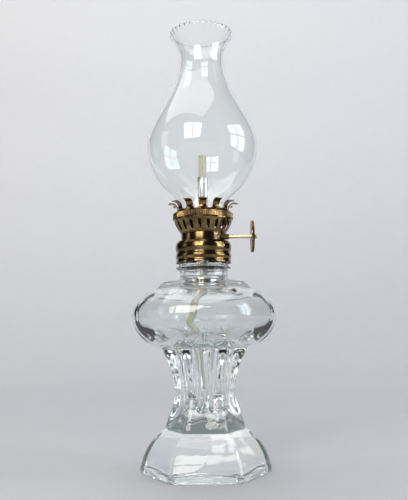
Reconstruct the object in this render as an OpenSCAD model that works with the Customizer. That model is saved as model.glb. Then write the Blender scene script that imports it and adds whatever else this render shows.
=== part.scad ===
// Miniature kerosene lamp, in millimetres. Origin at the middle of the foot's underside, +Z up,
// the thumb wheel towards +X and a flat panel of the base towards -Y.

/* [Foot and stem] */
// Radius of the foot over its six corners
foot_r = 33; // [28:0.5:38]
// Height of the upright band round the foot's edge
foot_band_h = 3.2; // [2:0.1:5]
// How far the band's upper edge rises in the middle of each panel
foot_scallop = 1.4; // [0:0.1:1.8]
// Height of the domed part of the foot
foot_dome_h = 17.8; // [14:0.2:22]
// Width of the flat ring that the lamp stands on
foot_ring_w = 5; // [3:0.5:7]
// Depth of the hollow under the foot
foot_hollow = 2.6; // [1:0.1:4]
// Radius over the ribs where the stem leaves the foot
stem_foot_r = 20.1; // [18:0.1:22]
// Radius over the ribs at the waist
waist_r = 15.6; // [14:0.1:18]
// Radius over the ribs under the font
stem_top_r = 22; // [19:0.1:24]
// Height of the ribbed stem
stem_h = 40.6; // [36:0.2:46]
// Depth of the flutes between the ribs, as a share of the radius
flute_share = 0.2; // [0.1:0.01:0.24]

/* [Font] */
// Largest radius of the font over its soft corners
font_r = 37.4; // [34:0.2:41]
// Height of the font below its widest level
bowl_low_h = 16.6; // [13:0.2:20]
// Height of the font from its widest level to the shoulder edge
bowl_high_h = 13.3; // [11:0.2:17]
// Radius of the shoulder's lower edge
shoulder_r = 25.6; // [23:0.2:28]
// Radius of the shoulder's upper edge
shoulder_top_r = 20.9; // [18:0.1:22.5]
// Height of the shoulder's bevel
shoulder_h = 3.9; // [2.5:0.1:5.5]
// Rise of the shoulder's top to the foot of the neck
shoulder_rise = 1.4; // [0.8:0.1:2.5]
// Largest radius of the fuel space
cavity_r = 29.5; // [25:0.5:31]
// Thickness of glass under the font's fuel space, beside the stem bore
font_floor = 4; // [3:0.5:6]
// Thickness of glass over the fuel space, beside the neck
roof_glass = 3.4; // [2.6:0.1:5]
// Radius of the stem bore under the font
bore_top_r = 11.6; // [10.9:0.1:12.5]
// Radius of the stem bore at the waist
bore_waist_r = 7.8; // [6:0.1:8.5]
// Height of the stem bore's closed end above the table
bore_floor_z = 26.5; // [22:0.5:27]

/* [Neck] */
// Radius of the plain neck
neck_r = 12.6; // [11.8:0.1:13]
// Radius of the neck's bore
neck_bore_r = 9.7; // [9.5:0.1:10.2]
// Height of the neck from the shoulder to its lip
neck_h = 17.8; // [16:0.2:21]
// Radius of the bevelled ring below the cap
ring_r = 14.4; // [13.4:0.1:15.5]
// Height of the bevelled ring
ring_h = 3; // [2:0.1:4]
// Gap between the bevelled ring and the cap
ring_gap = 1.1; // [0.6:0.1:2]

/* [Screw cap] */
// Thickness of the pressed brass sheet
sheet = 0.4; // [0.3:0.05:0.6]
// Height of the cap's rolled side
cap_h = 11.1; // [9.5:0.1:12]
// Radius over the cap's beads
cap_r = 14.6; // [14.2:0.1:16]
// Depth of the groove between the beads
cap_groove = 0.6; // [0.3:0.05:0.7]
// Thickness of the sealing washer
washer_t = 1; // [0.6:0.1:1.6]
// Free gap over and under the washer and round the moving fits
seat_gap = 0.1; // [0.05:0.05:0.2]

/* [Burner drum and cup] */
// Radius of the short drum on the cap
drum_r = 11.65; // [11.2:0.05:12.4]
// Height of the drum
drum_h = 4.2; // [4.2:0.1:5.4]
// Radius of the cup that closes the font
cup_r = 9; // [8.8:0.05:9.1]
// Depth of the cup below the cap's top
cup_depth = 3.2; // [2.8:0.1:4]
// Radius of the vent hole in the cup's floor
vent_r = 0.7; // [0.4:0.1:1]

/* [Air basket] */
// Radius of the basket where its side meets its floor
basket_low_r = 11.9; // [11.8:0.05:12.6]
// Radius of the basket's upright lip
basket_top_r = 15.35; // [15:0.05:16.5]
// Height of the basket's side up to its lip
basket_h = 6.8; // [6:0.1:9]
// Bulge of the basket's side
basket_bulge = 0.35; // [0:0.05:0.6]
// Number of air slots round the basket
slot_count = 20; // [12:1:24]
// Width of an air slot
slot_w = 1.5; // [1:0.1:1.8]
// Height of an air slot
slot_h = 4.6; // [3:0.1:5]

/* [Gallery and prongs] */
// Height of the knurled rim
rim_h = 3; // [2.4:0.1:4]
// Thickness of the knurled rim's roll
rim_t = 0.5; // [0.4:0.05:0.8]
// Radius of the prongs' inner face at their waist
prong_in_r = 13.25; // [13.25:0.05:14]
// Height of the crown's sloping band
band_h = 2; // [1.6:0.1:3]
// Upright length of a prong above the band
prong_rise = 0.4; // [0.2:0.1:2]
// Radius of a prong's outward curl
curl_r = 3; // [2.4:0.1:4]
// Angle that a prong curls through
curl_angle = 122; // [90:1:135]
// Number of prongs
prong_count = 12; // [8:1:12]
// Width of a prong
prong_w = 3.9; // [3:0.1:4.2]
// Number of draught holes in the chimney seat
draught_count = 16; // [8:1:18]
// Radius of a draught hole
draught_r = 0.9; // [0.6:0.05:1.1]
// Radius of the ring of draught holes
draught_ring_r = 8.4; // [7:0.1:10]

/* [Chimney] */
// Outer radius of the chimney's base
chimney_base_r = 12.9; // [12.4:0.05:12.95]
// Thickness of the chimney's wall
chimney_wall = 1; // [0.8:0.05:1.4]
// Straight height of the chimney's base
chimney_base_h = 6.2; // [4:0.1:7]
// Largest radius of the bulb
bulb_r = 29.2; // [26:0.1:33]
// Height of the bulb's widest level above the chimney's foot
bulb_z = 37; // [33:0.5:42]
// Radius of the throat
throat_r = 11.5; // [10:0.1:13]
// Height of the throat above the chimney's foot
throat_z = 86.4; // [80:0.5:95]
// Radius over the crimped lip
lip_r = 17; // [15:0.1:19]
// Height of the whole chimney
chimney_h = 99.8; // [94:0.5:110]
// Number of crimps round the lip
crimp_count = 32; // [20:1:36]
// Radius of a crimp's hollow
crimp_r = 0.75; // [0.5:0.05:0.9]

/* [Wick and tube] */
// Radius of the round wick
wick_r = 2.2; // [1.9:0.05:2.5]
// Radial running fit of the wick in its tube
wick_fit = 0.1; // [0.05:0.05:0.15]
// Wall of the wick tube
tube_wall = 0.42; // [0.3:0.02:0.5]
// Height of the tube's mouth above the chimney seat
tube_above_seat = 20.3; // [16:0.5:24]
// Length of the tube below the cup's floor
tube_below_cup = 7.2; // [5:0.2:9]
// Height of the wick's tip above the tube
wick_above_tube = 12.2; // [6:0.2:14]
// Straight length of wick below the tube
wick_straight = 11; // [10.8:0.2:14]
// Height of the wick's tail above the table
wick_tail_z = 41; // [40:0.5:46]

/* [Winder] */
// Radius of the winder shaft
shaft_r = 1; // [0.8:0.05:1.1]
// Radial running fit of the shaft in its bearings
shaft_fit = 0.05; // [0.03:0.01:0.08]
// Height of the shaft above the cap's top
shaft_up = 2.05; // [2.05:0.05:2.2]
// Tip radius of a feed wheel
feed_r = 3; // [2.6:0.05:3.1]
// Number of teeth on a feed wheel
feed_teeth = 10; // [8:1:12]
// Thickness of a feed wheel
feed_t = 0.8; // [0.5:0.05:0.9]
// Clear space between the two feed wheels
feed_space = 1; // [0.8:0.05:1.1]
// Length of the bush outside the drum
bush_len = 2.8; // [2:0.1:4]
// Radius of the bush
bush_r = 1.45; // [1.3:0.05:1.45]
// Thickness of the inner bearing bracket
bracket_t = 0.6; // [0.4:0.05:0.8]
// Distance from the lamp's axis to the thumb wheel's inner face
thumb_x = 24.6; // [21:0.2:28]
// Radius of the thumb wheel
thumb_r = 8.2; // [7:0.1:9]
// Thickness of the thumb wheel
thumb_t = 1.4; // [1:0.1:2]
// Number of notches round the thumb wheel
thumb_notches = 24; // [16:1:28]
// Number of holes pierced in the thumb wheel
thumb_holes = 6; // [4:1:7]
// Radius of a pierced hole
thumb_hole_r = 1.5; // [1:0.1:1.7]
// Length of shaft past the thumb wheel
shaft_end = 1.9; // [1.4:0.1:2.6]

/* [Hidden] */
// Facets round an exact circle and steps round the soft hexagon of the pressed glass
$fn = 96;
around = 48;
// Levels of the glass base
z_band = foot_band_h;
z_stem = z_band + foot_dome_h;
z_font = z_stem + stem_h;
z_wide = z_font + bowl_low_h;
z_edge = z_wide + bowl_high_h;
z_bevel = z_edge + shoulder_h;
z_neck = z_bevel + shoulder_rise;
z_lip = z_neck + neck_h;
// Share of the stem's height that lies below the waist, and the powers of its two curves
waist_share = 0.48;
stem_low_power = 1.3;
stem_high_power = 1.7;
// Powers of the rounded outlines: 2 is an ellipse, less is flatter
dome_power = 1.5;
bowl_low_power = 1.8;
bowl_high_power = 1.6;
cavity_power = 2;
// Sharpness of the six corners: higher is crisper
foot_soft = 24;
font_soft = 12;
shoulder_soft = 18;
// Steps up each curved stretch
dome_steps = 6;
stem_steps = 6;
bowl_steps = 6;
curve_steps = 12;
// Small chamfer under the foot, and the ledge between the flutes and the font
foot_chamfer = 0.6;
flute_ledge = 0.5;
// Levels and radii of the cap, drum and cup
z_washer = z_lip + seat_gap;
z_cap_under = z_washer + washer_t + seat_gap;
z_cap = z_cap_under + sheet;
z_cap_low = z_cap - cap_h;
cap_in_r = cap_r - cap_groove - sheet;
washer_r = neck_r + 0.3;
washer_hole_r = neck_bore_r + 0.2;
z_cup = z_cap - cup_depth;
z_drum = z_cap + drum_h;
cup_flange_r = drum_r - sheet - 0.05;
// Levels and radii of the basket and the gallery
z_basket = z_drum + sheet;
z_basket_lip = z_basket + basket_h;
rim_low_z = z_basket_lip + 0.5;
rim_top_z = rim_low_z + rim_h;
basket_in_r = basket_top_r - sheet;
crown_r = basket_in_r;
seat_z = rim_top_z - sheet;
seat_r = crown_r - sheet;
band_top_z = rim_top_z + band_h;
curl_z = band_top_z + prong_rise;
prong_tip_r = prong_in_r + curl_r * (1 - cos(curl_angle)) + sheet;
slot_z = z_basket + basket_h / 2;
slot_phase = 11;
// Chimney levels, above its own foot
chimney_z = seat_z + seat_gap;
toe_share = 0.13;
toe_power = 1.3;
bulb_power = 0.9;
lip_round = 1.1;
chimney_steps = 16;
throat_steps = 14;
lip_steps = 6;
crimp_depth_r = lip_r - 2.6;
// Tube, wick and winder
tube_in_r = wick_r + wick_fit;
tube_r = tube_in_r + tube_wall;
tube_low_z = z_cup - tube_below_cup;
tube_top_z = seat_z + tube_above_seat;
wick_top_z = tube_top_z + wick_above_tube;
wick_bend_z = tube_low_z - wick_straight;
shaft_y = -(wick_r + feed_r + 0.12);
shaft_z = z_cap + shaft_up;
feed_mid = (feed_space + feed_t) / 2;
bracket_x = -(feed_mid + feed_t / 2 + 2.7);
drum_wall_x = sqrt(drum_r * drum_r - shaft_y * shaft_y);
bush_in_x = drum_wall_x - 3;
bush_end_x = drum_wall_x + bush_len;
shaft_in_x = bracket_x - bracket_t - 0.6;
shaft_out_x = thumb_x + thumb_t + shaft_end;
ferrule_r = tube_r + 1.6;
ferrule_sleeve_r = tube_r + 0.5;
ferrule_flange = 0.8;
ferrule_h = 1.5;
// Sideways sway of the wick's tail in the fuel, from its bend down to its end
wick_sway = [0, -1.6, -4.4, -5.3, -5.7, -6.4, -8, -7.6, -5.6, -5, -4.6, -4, -3.2, -2.4, -1.8, -1.4];
wick_sides = 12;

brass = "#8a6a2c";
brass_dark = "#6b5022";
steel = "#b9bcc0";
glass_tint = "#cfe0dd";
cotton = "#e6dcc0";

// Corner outline of a soft hexagon: 1 at a corner, less between corners
function soft_hex(a, p) =
    pow(2 * pow(cos(30), p), 1 / p)
    / pow(pow(abs(cos(a - 30)), p) + pow(abs(cos(a - 90)), p) + pow(abs(cos(a - 150)), p), 1 / p);

// Outline of six rounded ribs with flutes between them: 1 on a rib
function ribs(a) = 1 - flute_share * (1 - cos(6 * a)) / 2;

// 0 at a corner, 1 in the middle of a panel
function mid_panel(a) = (1 - cos(6 * a)) / 2;

function smooth(t) = t * t * (3 - 2 * t);

// Quarter outline from 1 down to 0, rounded by its power
function round_off(t, p) = pow(max(0, 1 - pow(t, p)), 1 / p);

// Radius over the ribs, from the stem's foot at 0 to the font at 1
function stem_radius(t) = t < waist_share
    ? waist_r + (stem_foot_r - waist_r) * smooth(pow((waist_share - t) / waist_share, stem_low_power))
    : waist_r + (stem_top_r - waist_r) * pow((t - waist_share) / (1 - waist_share), stem_high_power);

// How much of the section is ribs, along the stem
function rib_blend(t) = t < 0.3 ? smooth(t / 0.3) : 1;

// One level of the pressed glass: height, radius at the corners, sharpness, share of ribs, scallop
function level(z, r, soft, rib, lift) = [z, r, soft, rib, lift];

foot_levels = concat(
    [
        level(foot_hollow, foot_r - foot_ring_w - 1, foot_soft, 0, 0),
        level(0, foot_r - foot_ring_w, foot_soft, 0, 0),
        level(0, foot_r - foot_chamfer, foot_soft, 0, 0),
        level(foot_chamfer, foot_r, foot_soft, 0, 0),
        level(z_band, foot_r, foot_soft, 0, foot_scallop),
    ],
    [for (i = [1 : dome_steps])
        let (t = 1 - pow(1 - i / dome_steps, 1.5))
        level(z_band + t * foot_dome_h,
            stem_foot_r + (foot_r - stem_foot_r) * round_off(t, dome_power),
            foot_soft, 0, foot_scallop * (1 - t))]);

stem_levels = [for (i = [1 : 2 * stem_steps])
    let (t = i / (2 * stem_steps))
    level(z_stem + t * stem_h, stem_radius(t), foot_soft, rib_blend(t), 0)];

font_levels = concat(
    [for (i = [bowl_steps - 1 : -1 : 0])
        let (t = pow(i / bowl_steps, 0.7))
        level(z_wide - t * (bowl_low_h - flute_ledge),
            stem_top_r + (font_r - stem_top_r) * round_off(t * 0.995, bowl_low_power), font_soft, 0, 0)],
    [for (i = [1 : bowl_steps])
        let (t = pow(i / bowl_steps, 0.8))
        level(z_wide + t * bowl_high_h,
            shoulder_r + (font_r - shoulder_r) * round_off(t, bowl_high_power), font_soft, 0, 0)],
    [
        level(z_bevel, shoulder_top_r, shoulder_soft, 0, 0),
        level(z_neck, neck_r + 0.6, font_soft, 0, 0),
    ]);

// Radius of one level at one angle
function level_radius(l, a) = l[1] * ((1 - l[3]) * soft_hex(a, l[2]) + l[3] * ribs(a));

// Closed skin through a list of levels, each a ring of points
module pressed_skin(levels) {
    rings = len(levels);
    last = (rings - 1) * around;
    points = [for (l = levels) for (k = [0 : around - 1])
        let (a = k * 360 / around, r = level_radius(l, a))
        [r * cos(a), r * sin(a), l[0] + l[4] * mid_panel(a)]];
    sides = [for (i = [0 : rings - 2]) for (k = [0 : around - 1])
        let (n = (k + 1) % around)
        each [
            [i * around + k, (i + 1) * around + k, (i + 1) * around + n],
            [i * around + k, (i + 1) * around + n, i * around + n],
        ]];
    floor_face = [for (k = [0 : around - 1]) k];
    roof_face = [for (k = [around - 1 : -1 : 0]) last + k];
    polyhedron(points = points, faces = concat(sides, [floor_face], [roof_face]), convexity = 8);
}

// Half outline of the fuel space, from the bore's closed end up to the lip
function cavity_outline() =
    let (floor_z = z_font + font_floor, under_z = z_bevel - roof_glass, bore_end = 5)
    concat(
        [[0, bore_floor_z]],
        [for (a = [15 : 15 : 90])
            [(bore_waist_r - 0.6) * sin(a), bore_floor_z + bore_end * (1 - cos(a))]],
        [[bore_waist_r, z_stem + waist_share * stem_h]],
        [for (i = [1 : 4])
            let (t = i / 4)
            [bore_waist_r + (bore_top_r - bore_waist_r) * pow(t, 1.4),
                z_stem + waist_share * stem_h + t * (floor_z - 1.5 - z_stem - waist_share * stem_h)]],
        [for (i = [curve_steps - 1 : -1 : 0])
            let (t = i / curve_steps)
            [bore_top_r + 1.5 + (cavity_r - bore_top_r - 1.5) * round_off(t, cavity_power),
                z_wide - t * (z_wide - floor_z)]],
        [for (i = [1 : curve_steps])
            let (t = i / curve_steps)
            [neck_bore_r + (cavity_r - neck_bore_r) * round_off(t, cavity_power),
                z_wide + t * (under_z - z_wide)]],
        [[neck_bore_r, z_lip + 1], [0, z_lip + 1]]);

// Half outline of the neck with its bevelled ring and rounded lip
function neck_outline() =
    let (ring_z = z_cap_low - ring_gap - ring_h / 2, lip_round_r = 0.6)
    [
        [0, z_neck],
        [neck_r, z_neck],
        [neck_r, ring_z - ring_h / 2],
        [ring_r, ring_z - 0.2],
        [ring_r, ring_z + 0.2],
        [neck_r, ring_z + ring_h / 2],
        [neck_r, z_lip - lip_round_r],
        [neck_r - 0.18, z_lip - 0.18],
        [neck_r - lip_round_r, z_lip],
        [0, z_lip],
    ];

module glass_base() {
    color(glass_tint, 0.5)
    difference() {
        union() {
            pressed_skin(concat(foot_levels, stem_levels, font_levels));
            rotate_extrude() polygon(neck_outline());
        }
        rotate_extrude() polygon(cavity_outline());
    }
}

module ring(outer, inner, low, high) {
    translate([0, 0, low])
    linear_extrude(high - low)
    difference() {
        circle(outer);
        circle(inner);
    }
}

module sealing_washer() {
    color("#7b6a55")
    ring(washer_r, washer_hole_r, z_washer, z_washer + washer_t);
}

// Outer radius of the cap's rolled side at a share of its height, counted from below
function cap_radius(t) =
    cap_r - cap_groove * pow(abs(cos(180 * 2 * t)), 1.5) * (t > 0.2 && t < 0.8 ? 1 : 0.6);

module screw_cap() {
    steps = 24;
    wall_out = [for (i = [0 : steps]) [cap_radius(i / steps), z_cap_low + (cap_h - 1) * i / steps]];
    wall_in = [for (i = [steps : -1 : 0])
        [cap_radius(i / steps) - sheet, z_cap_low + (cap_h - 1) * i / steps]];
    shoulder_in = cap_radius(1) - sheet;
    color(brass)
    rotate_extrude()
    polygon(concat(
        wall_out,
        [
            [cap_radius(1) - 0.3, z_cap - 0.3],
            [cap_radius(1) - 0.9, z_cap],
            [cup_r + 0.05, z_cap],
            [cup_r + 0.05, z_cap_under],
            [shoulder_in - 0.5, z_cap_under],
        ],
        wall_in));
}

module burner_drum() {
    color(brass)
    difference() {
        rotate_extrude()
        polygon([
            [drum_r, z_cap],
            [drum_r, z_drum],
            [drum_r - 2, z_drum],
            [drum_r - 2, z_drum - sheet],
            [drum_r - sheet, z_drum - sheet],
            [drum_r - sheet, z_cap],
        ]);
        translate([drum_wall_x - 3, shaft_y, shaft_z])
        rotate([0, 90, 0])
        cylinder(h = 6, r = bush_r);
    }
}

module floor_cup() {
    color(brass_dark)
    difference() {
        rotate_extrude()
        polygon([
            [tube_r, z_cup],
            [cup_r, z_cup],
            [cup_r, z_cap],
            [cup_flange_r, z_cap],
            [cup_flange_r, z_cap + sheet],
            [cup_r - sheet, z_cap + sheet],
            [cup_r - sheet, z_cup + sheet],
            [tube_r, z_cup + sheet],
        ]);
        translate([-ferrule_r - 1.6, 0, z_cup - 1])
        cylinder(h = sheet + 2, r = vent_r);
    }
}

module tube_ferrule() {
    color(brass_dark)
    rotate_extrude()
    polygon([
        [tube_r, z_cup + sheet],
        [ferrule_r, z_cup + sheet],
        [ferrule_r, z_cup + sheet + ferrule_flange / 2],
        [ferrule_sleeve_r, z_cup + sheet + ferrule_flange],
        [ferrule_sleeve_r, z_cup + sheet + ferrule_h],
        [tube_r, z_cup + sheet + ferrule_h],
    ]);
}

module wick_tube() {
    window_half = feed_mid + feed_t / 2 + 0.4;
    color(steel)
    difference() {
        ring(tube_r, tube_in_r, tube_low_z, tube_top_z);
        translate([-window_half, -tube_r - 1, shaft_z - feed_r - 0.3])
        cube([2 * window_half, tube_r + 0.1, 2 * feed_r + 0.6]);
    }
}

module along_x(x0, x1, r) {
    translate([x0, shaft_y, shaft_z])
    rotate([0, 90, 0])
    cylinder(h = x1 - x0, r = r);
}

module shaft_bracket() {
    half_w = shaft_r + 0.8;
    low_z = z_cup + sheet;
    color(brass_dark)
    difference() {
        union() {
            translate([bracket_x - bracket_t, shaft_y - half_w, low_z])
            cube([bracket_t, 2 * half_w, shaft_z - low_z]);
            along_x(bracket_x - bracket_t, bracket_x, half_w);
        }
        along_x(bracket_x - bracket_t - 1, bracket_x + 1, shaft_r + shaft_fit);
    }
}

module shaft_bush() {
    color(brass_dark)
    difference() {
        union() {
            along_x(bush_in_x, bush_end_x, bush_r);
            along_x(bush_in_x, bush_in_x + 0.5, bush_r + 0.15);
        }
        along_x(bush_in_x - 1, bush_end_x + 1, shaft_r + shaft_fit);
    }
}

// Outer radius of the basket's side at a share of its height
function basket_radius(t) =
    basket_low_r + (basket_top_r - basket_low_r) * t + basket_bulge * sin(180 * t);

module air_basket() {
    steps = 8;
    side_out = [for (i = [0 : steps]) [basket_radius(i / steps), z_basket + basket_h * i / steps]];
    side_in = [for (i = [steps : -1 : 0])
        [basket_radius(i / steps) - sheet, z_basket + basket_h * i / steps]];
    lip_top = rim_top_z - sheet - 0.1;
    color(brass)
    difference() {
        rotate_extrude()
        polygon(concat(
            [[drum_r - 2, z_drum], [basket_low_r - 0.3, z_drum]],
            side_out,
            [[basket_top_r, lip_top], [basket_in_r, lip_top]],
            side_in,
            [[drum_r - 2, z_basket]]));
        for (i = [0 : slot_count - 1]) {
            rotate([0, 0, slot_phase + i * 360 / slot_count])
            air_slot();
        }
    }
}

// Upright slot with round ends, cut outwards along +X
module air_slot() {
    straight = slot_h - slot_w;
    translate([basket_low_r - 3, 0, slot_z])
    rotate([0, 90, 0])
    linear_extrude(8)
    union() {
        square([straight, slot_w], center = true);
        translate([straight / 2, 0]) circle(slot_w / 2, $fn = 24);
        translate([-straight / 2, 0]) circle(slot_w / 2, $fn = 24);
    }
}

module chimney_seat() {
    hole_r = tube_r + 0.1;
    dish = 1.2;
    color(brass_dark)
    difference() {
        rotate_extrude()
        polygon([
            [hole_r, seat_z - dish],
            [seat_r - 3.6, seat_z - dish],
            [seat_r - 2.6, seat_z - sheet],
            [seat_r, seat_z - sheet],
            [seat_r, seat_z],
            [seat_r - 2.9, seat_z],
            [seat_r - 3.9, seat_z - dish + sheet],
            [hole_r, seat_z - dish + sheet],
        ]);
        for (i = [0 : draught_count - 1]) {
            rotate([0, 0, i * 360 / draught_count])
            translate([draught_ring_r, 0, seat_z - dish - 1])
            cylinder(h = dish + 2, r = draught_r, $fn = 32);
        }
    }
}

// Half outline of the crown: skirt, sloping band and outward curl, one sheet thick
module crown_outline() {
    steps = 8;
    curl_x = prong_in_r + curl_r + sheet;
    inner_curl = [for (i = [0 : steps])
        let (a = 180 - curl_angle * i / steps)
        [curl_x + curl_r * cos(a), curl_z + curl_r * sin(a)]];
    outer_curl = [for (i = [steps : -1 : 0])
        let (a = 180 - curl_angle * i / steps)
        [curl_x + (curl_r + sheet) * cos(a), curl_z + (curl_r + sheet) * sin(a)]];
    polygon(concat(
        [[crown_r, rim_low_z], [crown_r, rim_top_z], [prong_in_r + sheet, band_top_z]],
        inner_curl,
        outer_curl,
        [[prong_in_r, band_top_z], [crown_r - sheet, rim_top_z], [crown_r - sheet, rim_low_z]]));
}

// Plan of one prong: parallel sides and a round tip
module prong_plan() {
    translate([prong_in_r - 2, -prong_w / 2])
    square([prong_tip_r - prong_w / 2 - prong_in_r + 2, prong_w]);
    translate([prong_tip_r - prong_w / 2, 0])
    circle(prong_w / 2, $fn = 32);
}

module prong_crown() {
    color(brass)
    intersection() {
        rotate_extrude() crown_outline();
        union() {
            cylinder(h = band_top_z - 0.4, r = crown_r + 1);
            linear_extrude(band_top_z + curl_r + 3)
            for (i = [0 : prong_count - 1]) {
                rotate(270 + i * 360 / prong_count)
                prong_plan();
            }
        }
    }
}

module knurled_rim() {
    roll = rim_t * 0.45;
    outer = basket_top_r + rim_t;
    color(brass)
    rotate_extrude()
    polygon([
        [basket_top_r, rim_low_z],
        [outer - roll, rim_low_z],
        [outer, rim_low_z + roll],
        [outer, rim_top_z - roll],
        [outer - roll, rim_top_z],
        [crown_r, rim_top_z],
        [crown_r, rim_top_z - sheet + 0.05],
        [basket_top_r, rim_top_z - sheet + 0.05],
    ]);
}

module winder_shaft() {
    head = 0.25;
    color(steel)
    union() {
        along_x(shaft_in_x, shaft_out_x - 0.6, shaft_r);
        along_x(shaft_out_x - 1.2, shaft_out_x - 0.4, shaft_r + head);
        translate([shaft_out_x - 0.4, shaft_y, shaft_z])
        rotate([0, 90, 0])
        cylinder(h = 0.4, r1 = shaft_r + head, r2 = shaft_r - 0.2);
    }
}

// Star wheel that grips the wick
module feed_wheel(x) {
    root_r = feed_r - 0.8;
    half_tooth = 360 / feed_teeth / 2;
    color(steel)
    translate([x - feed_t / 2, shaft_y, shaft_z])
    rotate([90, 0, 90])
    linear_extrude(feed_t)
    difference() {
        polygon([for (i = [0 : feed_teeth - 1]) each [
            [feed_r * cos(i * 2 * half_tooth + 90), feed_r * sin(i * 2 * half_tooth + 90)],
            [root_r * cos((i * 2 + 1) * half_tooth + 90), root_r * sin((i * 2 + 1) * half_tooth + 90)],
        ]]);
        circle(shaft_r);
    }
}

module feed_wheel_left() {
    feed_wheel(-feed_mid);
}

module feed_wheel_right() {
    feed_wheel(feed_mid);
}

module thumb_wheel() {
    notch_r = 0.42;
    hole_ring_r = (thumb_r + shaft_r) * 0.52;
    color(brass)
    translate([thumb_x, shaft_y, shaft_z])
    rotate([90, 0, 90])
    linear_extrude(thumb_t)
    difference() {
        circle(thumb_r);
        circle(shaft_r);
        for (i = [0 : thumb_notches - 1]) {
            rotate(i * 360 / thumb_notches)
            translate([thumb_r, 0])
            circle(notch_r, $fn = 16);
        }
        for (i = [0 : thumb_holes - 1]) {
            rotate(90 + i * 360 / thumb_holes)
            translate([hole_ring_r, 0])
            circle(thumb_hole_r, $fn = 32);
        }
    }
}

// Sideways place of the wick's tail at a share of its length, on a smooth curve through the places
function sway_at(t) =
    let (
        last = len(wick_sway) - 1,
        place = min(t * last, last - 0.0001),
        i = floor(place),
        f = place - i,
        a = wick_sway[max(0, i - 1)],
        b = wick_sway[i],
        c = wick_sway[i + 1],
        d = wick_sway[min(last, i + 2)])
    (2 * b + (c - a) * f + (2 * a - 5 * b + 4 * c - d) * f * f + (3 * b - a - 3 * c + d) * f * f * f) / 2;

module wick_tail() {
    rings = 32;
    drop = wick_bend_z - wick_tail_z;
    overlap = 1;
    points = [for (i = [0 : rings]) for (k = [0 : wick_sides - 1])
        let (t = i / rings, a = k * 360 / wick_sides, r = wick_r * 0.98)
        [sway_at(t) + r * cos(a), r * sin(a), wick_bend_z + overlap - t * (drop + overlap)]];
    sides = [for (i = [0 : rings - 1]) for (k = [0 : wick_sides - 1])
        let (n = (k + 1) % wick_sides)
        each [
            [i * wick_sides + k, i * wick_sides + n, (i + 1) * wick_sides + n],
            [i * wick_sides + k, (i + 1) * wick_sides + n, (i + 1) * wick_sides + k],
        ]];
    top_face = [for (k = [wick_sides - 1 : -1 : 0]) k];
    end_face = [for (k = [0 : wick_sides - 1]) rings * wick_sides + k];
    polyhedron(points = points, faces = concat(sides, [top_face], [end_face]), convexity = 6);
}

module wick() {
    tip = 0.7;
    color(cotton)
    union() {
        translate([0, 0, wick_bend_z])
        cylinder(h = wick_top_z - tip - wick_bend_z, r = wick_r);
        translate([0, 0, wick_top_z - tip])
        cylinder(h = tip, r1 = wick_r, r2 = wick_r - tip);
        wick_tail();
    }
}

// Outer radius of the chimney at a height above its foot
function chimney_radius(z) =
    z <= chimney_base_h ? chimney_base_r
    : z <= bulb_z
        ? let (t = (z - chimney_base_h) / (bulb_z - chimney_base_h))
            chimney_base_r + (bulb_r - chimney_base_r) * (1 - pow(1 - t, 2))
                * (1 - exp(-pow(t / toe_share, toe_power)))
    : z <= throat_z
        ? let (t = (z - bulb_z) / (throat_z - bulb_z))
            throat_r + (bulb_r - throat_r) * (1 + cos(180 * pow(t, bulb_power))) / 2
    : let (t = (z - throat_z) / (chimney_h - throat_z))
        throat_r + (lip_r - throat_r) * (1 - cos(90 * min(1, t * lip_round)));

function chimney_side(inset) = concat(
    [[chimney_radius(0) - inset, 0]],
    [for (i = [0 : chimney_steps])
        let (z = chimney_base_h + (bulb_z - chimney_base_h) * pow(i / chimney_steps, 1.3))
        [chimney_radius(z) - inset, z]],
    [for (i = [1 : throat_steps])
        let (z = bulb_z + (throat_z - bulb_z) * i / throat_steps)
        [chimney_radius(z) - inset, z]],
    [for (i = [1 : lip_steps])
        let (z = throat_z + (chimney_h - throat_z) * i / lip_steps)
        [chimney_radius(z) - inset, z]]);

module chimney() {
    outside = chimney_side(0);
    inside = chimney_side(chimney_wall);
    last = len(inside) - 1;
    color(glass_tint, 0.35)
    translate([0, 0, chimney_z])
    difference() {
        rotate_extrude()
        polygon(concat(outside, [for (i = [last : -1 : 0]) inside[i]]));
        for (i = [0 : crimp_count - 1]) {
            rotate([0, 0, i * 360 / crimp_count])
            translate([crimp_depth_r, 0, chimney_h + 0.1])
            rotate([0, 90, 0])
            cylinder(h = lip_r - crimp_depth_r + 2, r = crimp_r, $fn = 16);
        }
    }
}

glass_base();
sealing_washer();
screw_cap();
burner_drum();
floor_cup();
tube_ferrule();
wick_tube();
shaft_bracket();
shaft_bush();
air_basket();
chimney_seat();
prong_crown();
knurled_rim();
winder_shaft();
feed_wheel_left();
feed_wheel_right();
thumb_wheel();
wick();
chimney();
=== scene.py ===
"""Miniature kerosene lamp: the looks of its glass, brass, steel and cotton, with light and camera.

Lengths in the tables below are millimetres in the lamp's own frame: the lamp stands on z 0, its
axis is Z, a flat panel of the glass faces -Y and the thumb wheel is towards +X.
"""

import math
import random

import bmesh
import bpy
import numpy as np
from mathutils import Matrix

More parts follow.
